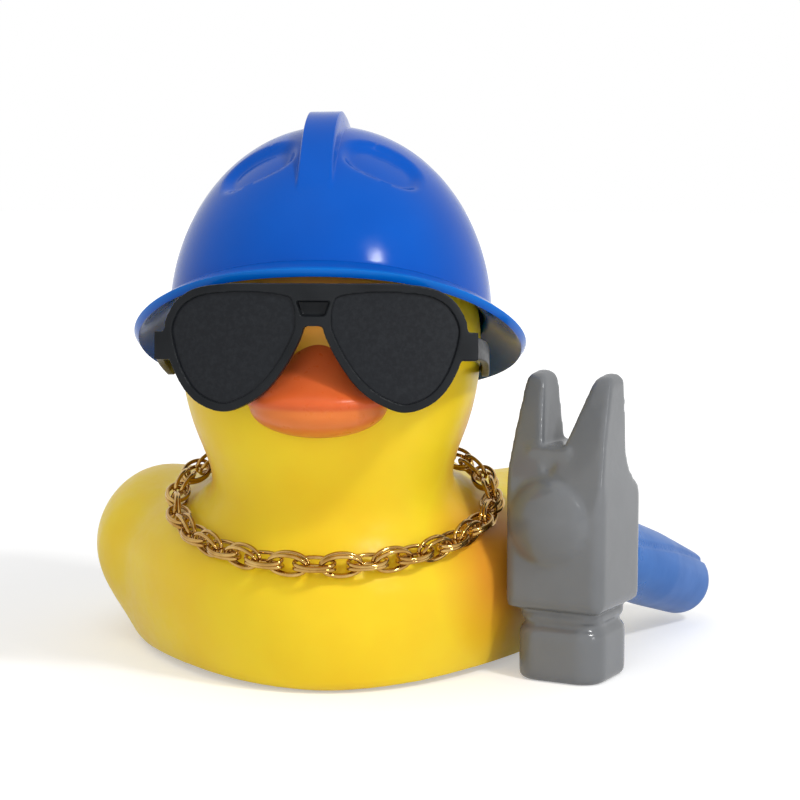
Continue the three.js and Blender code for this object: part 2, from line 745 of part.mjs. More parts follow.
const handleAngle = radians(handleSlope);
const bossCentre = vector(0, -backY, bossHeight);
const handleAlong = vector(0, Math.cos(handleAngle), -Math.sin(handleAngle));
const handleTurn = new THREE.Quaternion().setFromUnitVectors(vector(0, 0, 1), handleAlong);
const throughBlock = hammerBlockDepth / Math.cos(handleAngle);
const boss = new THREE.SphereGeometry(bossDiameter / 2, 20, 12).scale(1, bossRise / (bossDiameter / 2), 1);
boss.translate(bossCentre.x, bossCentre.y, bossCentre.z);

// The handle's spigot enters the back of the block; the grip butts against it
const spigotStart = throughBlock - handleSocketDepth;
const shoulderAt = throughBlock + handleDiameter / 2 * Math.tan(handleAngle) + seatGap;
function handleProfile(grow, from, to) {
  return [
    new THREE.Vector2(0, from),
    new THREE.Vector2(handleSpigotDiameter / 2 + grow, from),
    new THREE.Vector2(handleSpigotDiameter / 2 + grow, to),
    new THREE.Vector2(0, to),
  ];
}
const socket = lathe(handleProfile(seatGap, spigotStart, shoulderAt + 4), 20);
const alongHandle = (geometry) => geometry.applyQuaternion(handleTurn)
  .translate(0, bossCentre.y, bossCentre.z - handleBelowBoss);
const headBlock = toSolid(sideBlock).intersect(toSolid(frontBlock)).intersect(toSolid(planBlock));
const hammerSolid = headBlock.add(toSolid(poll)).add(toSolid(neck)).add(toSolid(boss))
  .subtract(toSolid(alongHandle(socket)));

const gripEnd = shoulderAt + handleLength;
const gripHalf = handleDiameter / 2;
const gripEndHalf = handleEndDiameter / 2;
const gripProfile = [
  new THREE.Vector2(0, spigotStart + seatGap),
  new THREE.Vector2(handleSpigotDiameter / 2, spigotStart + seatGap),
  new THREE.Vector2(handleSpigotDiameter / 2, shoulderAt),
  new THREE.Vector2(gripHalf - 0.5, shoulderAt),
  new THREE.Vector2(gripHalf, shoulderAt + 0.5),
  new THREE.Vector2(gripHalf, shoulderAt + handleLength * 0.5),
  new THREE.Vector2(gripEndHalf, gripEnd - gripEndHalf * 0.55),
  new THREE.Vector2(gripEndHalf * 0.86, gripEnd - gripEndHalf * 0.2),
  new THREE.Vector2(gripEndHalf * 0.55, gripEnd),
  new THREE.Vector2(0, gripEnd),
];
const handleSolid = toSolid(alongHandle(lathe(gripProfile, 22)));

// Finishes and the assembled group
const finish = (color, roughness, metalness = 0) => new THREE.MeshStandardMaterial({ color, roughness, metalness });
const yellowVinyl = finish('#f2cf2c', 0.42);
const bluePlastic = finish('#0a4fc0', 0.22);
const blackPlastic = finish('#1b1c1e', 0.45);
const darkLens = finish('#101114', 0.35);
const goldPlate = finish('#d9b04a', 0.22, 1);
const greyPaint = finish('#7d8083', 0.3);
const blueGrip = finish('#3f7ccb', 0.38);

const duck = new THREE.Group();
function addPiece(parent, name, geometry, material) {
  const piece = new THREE.Mesh(geometry, material);
  piece.name = name;
  parent.add(piece);
  return piece;
}

addPiece(duck, 'duck_body', toGeometry(duckSolid), yellowVinyl);

const hat = new THREE.Group();
hat.position.set(0, -headSetForward + hatSetBack, hatSeatHeight);
hat.rotation.order = 'XZY';
hat.rotation.x = -radians(hatTilt);
hat.rotation.z = -radians(hatYaw);
addPiece(hat, 'hard_hat', toGeometry(hatSolid), bluePlastic);
duck.add(hat);

const glasses = new THREE.Group();
glasses.position.set(0, -frameForward, frameCentreHeight + lensRimHeight / 2);
glasses.rotation.x = Math.PI / 2 - radians(frameLean);
addPiece(glasses, 'glasses_frame', toGeometry(glassesSolid), blackPlastic);
const lensEdge = rimWidth + lensClearance;
addPiece(glasses, 'lens_left', lensPlate(mirrorX(rimOutline(lensEdge))), darkLens);
addPiece(glasses, 'lens_right', lensPlate(rimOutline(lensEdge)), darkLens);
duck.add(glasses);

const link = doubleRing();
for (let number = 0; number < linkCount; number++) {
  const piece = addPiece(duck, `chain_link_${String(number + 1).padStart(2, '0')}`, link, goldPlate);
  piece.applyMatrix4(linkPlace(number));
}

const hammer = new THREE.Group();
hammer.position.set(hammerRight, -hammerForward, 0);
hammer.rotation.z = -radians(handleYaw);
addPiece(hammer, 'hammer_head', toGeometry(hammerSolid), greyPaint);
addPiece(hammer, 'hammer_handle', toGeometry(handleSolid), blueGrip);
duck.add(hammer);

export default duck;
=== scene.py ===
import math

import bpy
import numpy as np
from mathutils import Matrix, Vector


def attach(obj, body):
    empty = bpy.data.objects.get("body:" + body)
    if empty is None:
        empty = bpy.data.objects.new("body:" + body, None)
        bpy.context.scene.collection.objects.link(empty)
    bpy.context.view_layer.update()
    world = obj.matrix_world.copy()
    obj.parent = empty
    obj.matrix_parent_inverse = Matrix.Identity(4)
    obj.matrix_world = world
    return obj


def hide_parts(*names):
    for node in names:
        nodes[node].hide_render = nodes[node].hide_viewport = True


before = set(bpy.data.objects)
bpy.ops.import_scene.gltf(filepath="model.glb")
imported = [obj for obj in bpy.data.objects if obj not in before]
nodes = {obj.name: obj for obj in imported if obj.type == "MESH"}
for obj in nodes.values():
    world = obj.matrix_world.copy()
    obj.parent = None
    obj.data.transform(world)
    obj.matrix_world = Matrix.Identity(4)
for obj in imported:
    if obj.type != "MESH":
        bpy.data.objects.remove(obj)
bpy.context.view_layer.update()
mm = 0.001


# Small helpers for working on one piece at a time
def selectOnly(piece):
    if bpy.context.object and bpy.context.object.mode != 'OBJECT':
        bpy.ops.object.mode_set(mode='OBJECT')
    bpy.ops.object.select_all(action='DESELECT')
    piece.select_set(True)
    bpy.context.view_layer.objects.active = piece


def addModifier(piece, kind, **settings):
    modifier = piece.modifiers.new(kind.title(), kind)
    for name, value in settings.items():
        setattr(modifier, name, value)
    selectOnly(piece)
    bpy.ops.object.modifier_apply(modifier=modifier.name)


def roundEdges(piece, width, angle):
    limit = math.radians(angle)
    addModifier(piece, 'BEVEL', width=width * mm, segments=3, limit_method='ANGLE', angle_limit=limit)


def voxelForm(piece, grid, smoothing=0):
    addModifier(piece, 'REMESH', mode='VOXEL', voxel_size=grid, adaptivity=0.0)
    if smoothing:
        addModifier(piece, 'SMOOTH', factor=0.5, iterations=smoothing)


def copyOfNode(nodeName, pieceName):
    # a CAD node's mesh is loose triangles, so its corners are merged first
    piece = bpy.data.objects.new(pieceName, nodes[nodeName].data.copy())
    bpy.context.scene.collection.objects.link(piece)
    piece.data.materials.clear()
    selectOnly(piece)
    bpy.ops.mesh.customdata_custom_splitnormals_clear()
    bpy.ops.object.mode_set(mode='EDIT')
    bpy.ops.mesh.select_all(action='SELECT')
    bpy.ops.mesh.remove_doubles(threshold=0.002 * mm)
    bpy.ops.object.mode_set(mode='OBJECT')
    return piece


def joined(name, *pieces):
    bpy.ops.object.select_all(action='DESELECT')
    for piece in pieces:
        piece.select_set(True)
    bpy.context.view_layer.objects.active = pieces[0]
    bpy.ops.object.join()
    pieces[0].name = name
    return pieces[0]


def seat(piece, material, slotName, *nodeNames):
    piece.data.materials.clear()
    piece.data.materials.append(material)
    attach(piece, "root")
    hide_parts(*nodeNames)


def newMaterial(name):
    material = bpy.data.materials.new(name)
    material.use_nodes = True
    tree = material.node_tree
    return material, tree, tree.nodes["Principled BSDF"]


def addNode(tree, kind, **settings):
    node = tree.nodes.new(kind)
    for name, value in settings.items():
        setattr(node, name, value)
    return node


def link(tree, start, end):
    tree.links.new(start, end)


def noiseAt(tree, scale, detail=4.0, roughness=0.5):
    place = addNode(tree, 'ShaderNodeTexCoord')
    noise = addNode(tree, 'ShaderNodeTexNoise')
    noise.inputs["Scale"].default_value = scale
    noise.inputs["Detail"].default_value = detail
    noise.inputs["Roughness"].default_value = roughness
    link(tree, place.outputs["Object"], noise.inputs["Vector"])
    return noise


def remap(tree, source, low, high, newLow, newHigh):
    ramp = addNode(tree, 'ShaderNodeMapRange')
    ends = (("From Min", low), ("From Max", high), ("To Min", newLow), ("To Max", newHigh))
    for socket, value in ends:
        ramp.inputs[socket].default_value = value
    link(tree, source, ramp.inputs["Value"])
    return ramp.outputs["Result"]


def mixColors(tree, factor, first, second):
    mix = addNode(tree, 'ShaderNodeMix', data_type='RGBA')
    link(tree, factor, mix.inputs["Factor"])
    for socket, color in ((mix.inputs[6], first), (mix.inputs[7], second)):
        if isinstance(color, tuple):
            socket.default_value = color + (1.0,)
        else:
            link(tree, color, socket)
    return mix.outputs[2]


def addBump(tree, shader, height, strength, depth):
    bump = addNode(tree, 'ShaderNodeBump')
    bump.inputs["Strength"].default_value = strength
    bump.inputs["Distance"].default_value = depth * mm
    link(tree, height, bump.inputs["Height"])
    link(tree, bump.outputs["Normal"], shader.inputs["Normal"])


def smoothStep(value, low, high):
    share = min(max((value - low) / (high - low), 0.0), 1.0)
    return share * share * (3 - 2 * share)


def mathNode(tree, operation, first, second, clamped=False):
    node = addNode(tree, 'ShaderNodeMath', operation=operation, use_clamp=clamped)
    for socket, value in zip(node.inputs, (first, second)):
        if isinstance(value, float):
            socket.default_value = value
        else:
            link(tree, value, socket)
    return node.outputs[0]


def patches(tree, noise, low=0.35, high=0.65, most=1.0):
    return remap(tree, noise.outputs["Fac"], low, high, 0.0, most)


def roughen(tree, shader, noise, smoothest, roughest, low=0.3, high=0.7):
    link(tree, remap(tree, noise.outputs["Fac"], low, high, smoothest, roughest), shader.inputs["Roughness"])


def soften(shader, tint, depth):
    # a little light passes into soft vinyl and paint
    shader.inputs["Subsurface Weight"].default_value = 0.2
    shader.inputs["Subsurface Radius"].default_value = tint
    shader.inputs["Subsurface Scale"].default_value = depth * mm


# Camera: the photograph's place, a little above the sunglasses and just right of centre
cameraPlace = {
    'turn': 3.0,
    'rise': 7.25,
    'distance': 400 * mm,
    'aimRight': 11.05 * mm,
    'aimForward': 16.0 * mm,
    'aimHeight': 44.3 * mm,
    'lens': 109.1,
}


def directionTo(degreesTurn, degreesRise):
    # from the object towards a camera or a lamp, turned from straight ahead and raised
    across, up = math.radians(degreesTurn), math.radians(degreesRise)
    return Vector((math.sin(across) * math.cos(up), -math.cos(across) * math.cos(up), math.sin(up)))


turn = math.radians(cameraPlace['turn'])
aim = Vector((math.cos(turn), math.sin(turn), 0)) * cameraPlace['aimRight']
aim += Vector((0, -cameraPlace['aimForward'], cameraPlace['aimHeight']))
outward = directionTo(cameraPlace['turn'], cameraPlace['rise'])
camera = bpy.data.objects.new("photoCamera", bpy.data.cameras.new("photoCamera"))
bpy.context.scene.collection.objects.link(camera)
camera.location = aim + outward * cameraPlace['distance']
camera.rotation_euler = outward.to_track_quat('Z', 'Y').to_euler()
camera.data.lens = cameraPlace['lens']
camera.data.sensor_width = 36.0
camera.data.clip_start = 0.01
bpy.context.scene.camera = camera
print("camera set")

# Duck: eggs for body, head, wings and tail, drawn into one moulded skin
duck = {
    # each egg is its centre, its half sizes and its half height below the centre
    'body': ((0.0, 0.0, 16.0), (39.5, 42.0, 16.0), 35.0),
    'head': ((0.0, -20.0, 54.0), (24.4, 23.8, 31.0), 32.0),
    'wing': ((33.4, 13.0, 17.0), (10.0, 17.0, 11.0), 11.0),
    'tail': ((0.0, 33.0, 29.0), (15.0, 18.0, 7.0), 7.0),
    'chestTaper': 0.36,
    'wingSweepUp': 8.0,
    'wingTurnIn': 9.0,
    'tailTilt': 38.0,
    'neckFillet': 12.0,
    'wingFillet': 7.0,
    'tailFillet': 12.0,
    'baseFillet': 2.0,
    'grid': 0.85,
    'drawSteps': 8,                              # times that the skin is drawn onto the blended form
    'drawReach': 1.5,                            # farthest that a spot moves in one of them
    'probe': 0.05,                               # step over which the form's slope is measured
    'leastSteep': 0.05,
    'smoothing': 4,
    'yellow': (0.87, 0.64, 0.022),
    'yellowDeep': (0.84, 0.57, 0.017),
    'browPaintedShade': (0.95, 0.42, 0.07),             # painted shade of the brow under the hat's brim, reaching down between the glasses
    'browShadeHeights': (51.0, 59.0),
    'browShadeAhead': (-34.0, -42.0),
    'paintedShadeOrange': (0.72, 0.26, 0.028),                 # painted shade: deeper orange, as light bounced off the yellow, in the neck's nooks and in the hammer's shadow beside it
    'paintedShadeNooks': (                               # centre and reach of each patch of painted shade
        ((28.0, -19.0, 38.0), 12.0),
        ((33.0, -22.0, 20.0), 20.0),
        ((-24.0, -20.0, 37.0), 10.0),
    ),
    'paintedShadeCore': 0.45,
    'paintedShadeShare': 0.85,
    'mottle': 55,
    'grain': 700,
    'grainDepth': 0.04,
    'roughness': (0.29, 0.41),
    'specular': 0.18,
    'softTint': (1.0, 0.55, 0.12),
    'softDepth': 2.5,
}


def duckVinyl():
    material, tree, shader = newMaterial("duckVinyl")
    mottled = noiseAt(tree, duck['mottle'], 3.0)
    color = mixColors(tree, patches(tree, mottled), duck['yellow'], duck['yellowDeep'])
    place = addNode(tree, 'ShaderNodeTexCoord')
    parts = addNode(tree, 'ShaderNodeSeparateXYZ')
    link(tree, place.outputs["Object"], parts.inputs[0])
    low, high = duck['browShadeHeights']
    start, end = duck['browShadeAhead']
    upward = remap(tree, parts.outputs["Z"], low * mm, high * mm, 0.0, 1.0)
    ahead = remap(tree, parts.outputs["Y"], start * mm, end * mm, 0.0, 1.0)
    # painted shade: near each nook the yellow is mixed towards deeper orange
    for middle, reach in duck['paintedShadeNooks']:
        away = addNode(tree, 'ShaderNodeVectorMath', operation='DISTANCE')
        away.inputs[1].default_value = Vector(middle) * mm
        link(tree, place.outputs["Object"], away.inputs[0])
        core = reach * mm * duck['paintedShadeCore']
        near = remap(tree, away.outputs["Value"], reach * mm, core, 0.0, duck['paintedShadeShare'])
        color = mixColors(tree, near, color, duck['paintedShadeOrange'])
    # painted shade: the front of the head turns amber from between the glasses up under the hat's brim
    color = mixColors(tree, mathNode(tree, 'MULTIPLY', upward, ahead), color, duck['browPaintedShade'])
    link(tree, color, shader.inputs["Base Color"])
    grain = noiseAt(tree, duck['grain'], 5.0)
    roughen(tree, shader, grain, *duck['roughness'])
    addBump(tree, shader, grain.outputs["Fac"], 0.1, duck['grainDepth'])
    soften(shader, duck['softTint'], duck['softDepth'])
    shader.inputs["Specular IOR Level"].default_value = duck['specular']
    return material


def eggDistance(spots, egg):
    centre, half, below = egg
    offset = spots - np.array(centre)
    scale = np.tile(np.array(half), (len(spots), 1))
    scale[:, 2] = np.where(offset[:, 2] < 0, below, half[2])
    near = np.linalg.norm(offset / scale, axis=1)
    steep = np.linalg.norm(offset / scale ** 2, axis=1)
    return near * (near - 1) / np.maximum(steep, 1e-9)


def blended(first, second, fillet):
    share = np.maximum(fillet - np.abs(first - second), 0) / fillet
    return np.minimum(first, second) - share * share * fillet / 4


def turnedBack(spots, centre, degreesUp, degreesIn=0.0):
    offset = spots - np.array(centre)
    inward, upward = math.radians(degreesIn), math.radians(degreesUp)
    x = offset[:, 0] * math.cos(inward) + offset[:, 1] * math.sin(inward)
    y = -offset[:, 0] * math.sin(inward) + offset[:, 1] * math.cos(inward)
    z = -y * math.sin(upward) + offset[:, 2] * math.cos(upward)
    y = y * math.cos(upward) + offset[:, 2] * math.sin(upward)
    return np.stack([x, y, z], axis=1) + np.array(centre)


def duckForm(spots):
    # how far each spot lies outside the skin, in mm
    mirrored = spots.copy()
    mirrored[:, 0] = np.abs(mirrored[:, 0])
    chested = mirrored.copy()
    chested[:, 0] *= 1 + duck['chestTaper'] * np.maximum(-spots[:, 1], 0) / duck['body'][1][1]
    body = eggDistance(chested, duck['body'])
    head = eggDistance(spots, duck['head'])
    swept = turnedBack(mirrored, duck['wing'][0], duck['wingSweepUp'], duck['wingTurnIn'])
    wing = eggDistance(swept, duck['wing'])
    tail = eggDistance(turnedBack(spots, duck['tail'][0], duck['tailTilt']), duck['tail'])
    form = blended(blended(body, wing, duck['wingFillet']), tail, duck['tailFillet'])
    form = blended(form, head, duck['neckFillet'])
    return -blended(-form, spots[:, 2], duck['baseFillet'])


def addEgg(egg, rotation=(0.0, 0.0, 0.0)):
    centre, half, below = egg
    bpy.ops.object.select_all(action='DESELECT')
    bpy.ops.mesh.primitive_uv_sphere_add(segments=72, ring_count=48, location=centre, rotation=rotation)
    piece = bpy.context.object
    for vert in piece.data.vertices:
        tall = half[2] if vert.co.z > 0 else below
        vert.co = Vector((vert.co.x * half[0], vert.co.y * half[1], vert.co.z * tall))
    bpy.ops.object.transform_apply(location=True, rotation=True, scale=True)
    return piece


def duckMesh():
    eggs = [addEgg(duck['body']), addEgg(duck['head'])]
    eggs.append(addEgg(duck['tail'], (math.radians(duck['tailTilt']), 0, 0)))
    for side in (-1, 1):
        (x, y, z), half, below = duck['wing']
        turns = (math.radians(duck['wingSweepUp']), 0, math.radians(duck['wingTurnIn']) * side)
        eggs.append(addEgg(((x * side, y, z), half, below), turns))
    piece = joined("duckSkin", *eggs)
    voxelForm(piece, duck['grid'])
    bpy.ops.object.mode_set(mode='EDIT')
    bpy.ops.mesh.select_all(action='SELECT')
    bpy.ops.mesh.bisect(plane_co=(0, 0, 0), plane_no=(0, 0, 1), clear_inner=True, use_fill=True)
    bpy.ops.mesh.select_all(action='SELECT')
    bpy.ops.mesh.normals_make_consistent(inside=False)
    bpy.ops.object.mode_set(mode='OBJECT')
    # the skin is drawn onto the blended form, as a mould's fillets would be
    spots = np.array([vert.co for vert in piece.data.vertices])
    probe = duck['probe']
    steps = np.eye(3) * probe
    for _ in range(duck['drawSteps']):
        far = duckForm(spots)
        changes = [duckForm(spots + step) - duckForm(spots - step) for step in steps]
        slope = np.stack(changes, axis=1) / (2 * probe)
        steep = np.maximum((slope ** 2).sum(axis=1), duck['leastSteep'])
        spots -= slope * np.clip(far / steep, -duck['drawReach'], duck['drawReach'])[:, None]
    for vert, spot in zip(piece.data.vertices, spots):
        vert.co = Vector(spot)
    addModifier(piece, 'SMOOTH', factor=0.5, iterations=duck['smoothing'])
    for vert in piece.data.vertices:
        vert.co = Vector((vert.co.x, vert.co.y, max(vert.co.z, 0.0))) * mm
    return piece


duckSkin = duckMesh()
selectOnly(duckSkin)
bpy.ops.object.shade_smooth_by_angle(angle=math.radians(50))
seat(duckSkin, duckVinyl(), "duck_vinyl", "duck_body")
print("duck skin done")

# Beak: a flat upper bill with a root between the eyes, and a rounder lower bill, as one moulding
beak = {
    'upper': {'width': 23.0, 'length': 20.0, 'thick': 6.4, 'height': 48.2, 'rootRise': 5.5},
    'lower': {'width': 21.2, 'length': 19.2, 'thick': 9.6, 'height': 46.9, 'rootRise': 0.0},
    'mouth': 47.3,                               # height of the mouth line, where the colour changes
    'mouthBlur': 0.3,
    'grid': 0.28,
    'smoothing': 7,
    'rootWidth': 14.0,
    'faceY': -43.8,
    'upperOrange': (0.68, 0.130, 0.030),
    'upperDeep': (0.62, 0.105, 0.022),
    'lowerOrange': (0.74, 0.200, 0.040),
    'lowerDeep': (0.68, 0.170, 0.032),
    'mottle': 90,
    'grain': 500,
    'grainDepth': 0.04,
    'roughness': (0.26, 0.38),
    'specular': 0.25,
    'softTint': (1.0, 0.4, 0.15),
    'softDepth': 2.0,
}


def addBill(name, bill):
    bpy.ops.object.select_all(action='DESELECT')
    bpy.ops.mesh.primitive_uv_sphere_add(segments=96, ring_count=64, radius=1.0)
    piece = bpy.context.object
    piece.name = name
    for vert in piece.data.vertices:
        x, y = vert.co.x * bill['width'] / 2, vert.co.y * bill['length'] / 2
        z = vert.co.z * bill['thick'] / 2
        across = 2 * x / beak['rootWidth']
        back = smoothStep(y, -bill['length'] / 2, bill['length'] / 8)
        lift = max(z, 0) / (bill['thick'] / 2) * bill['rootRise'] * back * math.exp(-across * across)
        vert.co = Vector((x, y + beak['faceY'], z + lift + bill['height'])) * mm
    selectOnly(piece)
    bpy.ops.object.shade_smooth()
    return piece


def beakMaterial():
    # the lower bill is paler, from the mouth line down
    material, tree, shader = newMaterial("beakPaint")
    shade = patches(tree, noiseAt(tree, beak['mottle'], 3.0))
    place = addNode(tree, 'ShaderNodeTexCoord')
    parts = addNode(tree, 'ShaderNodeSeparateXYZ')
    link(tree, place.outputs["Object"], parts.inputs[0])
    blur = beak['mouthBlur']
    start, end = (beak['mouth'] + blur) * mm, (beak['mouth'] - blur) * mm
    below = remap(tree, parts.outputs["Z"], start, end, 0.0, 1.0)
    upper = mixColors(tree, shade, beak['upperOrange'], beak['upperDeep'])
    lower = mixColors(tree, shade, beak['lowerOrange'], beak['lowerDeep'])
    link(tree, mixColors(tree, below, upper, lower), shader.inputs["Base Color"])
    grain = noiseAt(tree, beak['grain'], 4.0)
    roughen(tree, shader, grain, *beak['roughness'])
    addBump(tree, shader, grain.outputs["Fac"], 0.1, beak['grainDepth'])
    soften(shader, beak['softTint'], beak['softDepth'])
    shader.inputs["Specular IOR Level"].default_value = beak['specular']
    return material


bills = joined("duckBeak", addBill("upperBill", beak['upper']), addBill("lowerBill", beak['lower']))
voxelForm(bills, beak['grid'] * mm, beak['smoothing'])
bpy.ops.object.shade_smooth()
seat(bills, beakMaterial(), "duck_vinyl", "duck_body")
print("beak done")

# Hard hat: a fine dome with its comb and dished panels drawn up out of one skin
hat = {
    'insideHalf': 24.85,
    'wall': 1.3,
    'longerThanWide': 4.0,
    'domeHeight': 31.4,
    'tilt': 23.0,
    'yaw': 2.5,
    'seat': (0.0, -19.0, 58.3),
    'brimSide': 5.6,
    'brimFront': 4.2,
    'brimBack': 6.2,
    'brimDroop': 1.65,
    'brimSideDroop': 2.4,
    'brimFrontDroop': 1.0,
    # the brim grows from the open edge in steps, as (share of reach, share of droop)
    'brimSteps': ((0.03, 0.0), (0.12, 0.02), (0.3, 0.12), (0.55, 0.4), (0.8, 0.75), (0.93, 0.93), (1.0, 1.0)),
    'combWidth': 6.2,
    'combTopWidth': 4.9,
    'combRise': 0.9,
    'combEndAngle': 66.0,
    'combFullness': 2.8,
    'combFade': 0.5,                             # the comb sinks into the dome below this rise
    'combCuts': (1.0, 0.8, 0.6, 0.4, 0.2, 0.0),  # edges laid along the comb's slopes
    'panelWidth': 14.5,
    'panelLength': 10.5,
    'panelDepth': 1.3,
    'panelSquareness': 2.5,
    'panelFlat': 0.66,                           # share of a panel that lies flat
    'panelTurn': 20.0,
    'panelOffAxis': 32.0,
    'panelForward': 43.0,
    'blue': (0.0, 0.084, 0.46),
    'blueDeep': (0.0, 0.070, 0.40),
    'lipHighlightBlue': (0.0, 0.155, 0.60),
    'lipHighlightBand': (0.15, 0.55),                     # how far in from the edge the lip's painted highlight reaches
    'edgeRound': 0.35,
    'clouds': 45,
    'scuffs': 320,
    'ripple': 120,
    'rippleDepth': 0.12,
    'roughness': (0.14, 0.24),
    'specular': 0.12,
}


def hatMaterial():
    material, tree, shader = newMaterial("hatPlastic")
    shade = patches(tree, noiseAt(tree, hat['clouds'], 3.0))
    color = mixColors(tree, shade, hat['blue'], hat['blueDeep'])
    # painted highlight: the brim's lip is mixed towards a paler blue
    lipHighlight = addNode(tree, 'ShaderNodeAttribute', attribute_name="lipHighlight")
    link(tree, mixColors(tree, lipHighlight.outputs["Fac"], color, hat['lipHighlightBlue']), shader.inputs["Base Color"])
    roughen(tree, shader, noiseAt(tree, hat['scuffs'], 6.0, 0.65), *hat['roughness'], 0.4, 0.75)
    ripple = noiseAt(tree, hat['ripple'], 2.0)
    addBump(tree, shader, ripple.outputs["Fac"], 0.1, hat['rippleDepth'])
    shader.inputs["Specular IOR Level"].default_value = hat['specular']
    return material


def superReach(angle, halfAlong, halfUp, fullness):
    # distance to a superellipse in the direction angle, measured up from the y axis
    along = abs(math.cos(angle)) / halfAlong
    up = abs(math.sin(angle)) / halfUp
    return (along ** fullness + up ** fullness) ** (-1 / fullness)


def brimReach(angle):
    ahead = -math.sin(angle)
    along = hat['brimFront'] if ahead > 0 else hat['brimBack']
    return hat['brimSide'] + (along - hat['brimSide']) * ahead ** 2


outsideHalf = hat['insideHalf'] + hat['wall']
halfY = outsideHalf + hat['longerThanWide'] / 2
domeHeight = hat['domeHeight']
combSide = hat['combWidth'] / 2
combTop = hat['combTopWidth'] / 2


def domeMesh():
    # a half sphere of radius 1, cut beside the comb, with the brim's rings hung from its edge
    bpy.ops.object.select_all(action='DESELECT')
    # poles lie at the sides, so that the rings run along the comb
    bpy.ops.mesh.primitive_uv_sphere_add(segments=240, ring_count=180, rotation=(0, math.pi / 2, 0))
    bpy.ops.object.transform_apply(location=True, rotation=True, scale=True)
    piece = bpy.context.object
    piece.name = "hardHat"
    bpy.ops.object.mode_set(mode='EDIT')
    bpy.ops.mesh.select_all(action='SELECT')
    bpy.ops.mesh.bisect(plane_co=(0, 0, 0), plane_no=(0, 0, 1), clear_inner=True)
    for share in hat['combCuts']:
        cut = combTop + (combSide - combTop) * share
        for side in (-1, 1):
            bpy.ops.mesh.select_all(action='SELECT')
            bpy.ops.mesh.bisect(plane_co=(side * cut / outsideHalf, 0, 0), plane_no=(1, 0, 0))
    bpy.ops.mesh.select_mode(type='EDGE')
    bpy.ops.mesh.select_all(action='DESELECT')
    bpy.ops.mesh.select_non_manifold()
    for _ in hat['brimSteps']:
        bpy.ops.mesh.extrude_edges_move(TRANSFORM_OT_translate={'value': (0, 0, -1.0)})
    bpy.ops.object.mode_set(mode='OBJECT')
    return piece


def brimSpot(x, y, ring):
    out, drop = hat['brimSteps'][ring]
    angle = math.atan2(y, x)
    reach = brimReach(angle) * out
    ahead = max(-math.sin(angle), 0.0)
    fall = hat['brimDroop'] * drop + hat['brimSideDroop'] * math.cos(angle) ** 2 * out
    fall += hat['brimFrontDroop'] * ahead ** 6 * drop
    return Vector((x * outsideHalf + math.cos(angle) * reach, y * halfY + math.sin(angle) * reach, -fall))


def combShape():
    combEnd = math.radians(hat['combEndAngle'])
    combTopZ = domeHeight + hat['combRise']
    endY, endZ = halfY * math.sin(combEnd), domeHeight * math.cos(combEnd)
    combHalf = endY / (1 - (endZ / combTopZ) ** hat['combFullness']) ** (1 / hat['combFullness'])
    return combHalf, combTopZ


def raiseComb(spot, combHalf, combTopZ):
    angle = math.atan2(spot.z, abs(spot.y))
    radius = math.hypot(spot.y, spot.z)
    if abs(spot.x) >= combSide + 0.01 or radius <= 1:
        return
    onDome = superReach(angle, halfY, domeHeight, 2.0)
    rise = superReach(angle, combHalf, combTopZ, hat['combFullness']) - onDome
    share = 1 - smoothStep(abs(spot.x), combTop, combSide)
    # the crown is level across, so the dome's own fall towards the sides is made up
    level = onDome - radius
    if rise > 0:
        lifted = radius + (rise + level * smoothStep(rise, 0.0, hat['combFade'])) * share
        spot.y *= lifted / radius
        spot.z *= lifted / radius


def panelPlace(side):
    across, forward = math.radians(hat['panelOffAxis']) * side, math.radians(hat['panelForward'])
    ahead = math.cos(forward)
    normal = Vector((math.sin(across) * ahead, -math.sin(forward), math.cos(across) * ahead))
    middle = Vector((normal.x * outsideHalf, normal.y * halfY, normal.z * domeHeight))
    acrossWay = Vector((0, 1, 0)).cross(normal).normalized()
    acrossWay.rotate(Matrix.Rotation(math.radians(hat['panelTurn']) * side, 3, normal))
    return normal, middle, acrossWay


def dishPanel(spot, normal, middle, acrossWay):
    offset = spot - middle
    wide = offset.dot(acrossWay) / (hat['panelWidth'] / 2)
    long = offset.dot(normal.cross(acrossWay)) / (hat['panelLength'] / 2)
    square = hat['panelSquareness']
    dished = (abs(wide) ** square + abs(long) ** square) ** (1 / square)
    if offset.length < hat['panelWidth'] and abs(spot.x) > combSide:
        spot -= normal * hat['panelDepth'] * (1 - smoothStep(dished, hat['panelFlat'], 1.0))


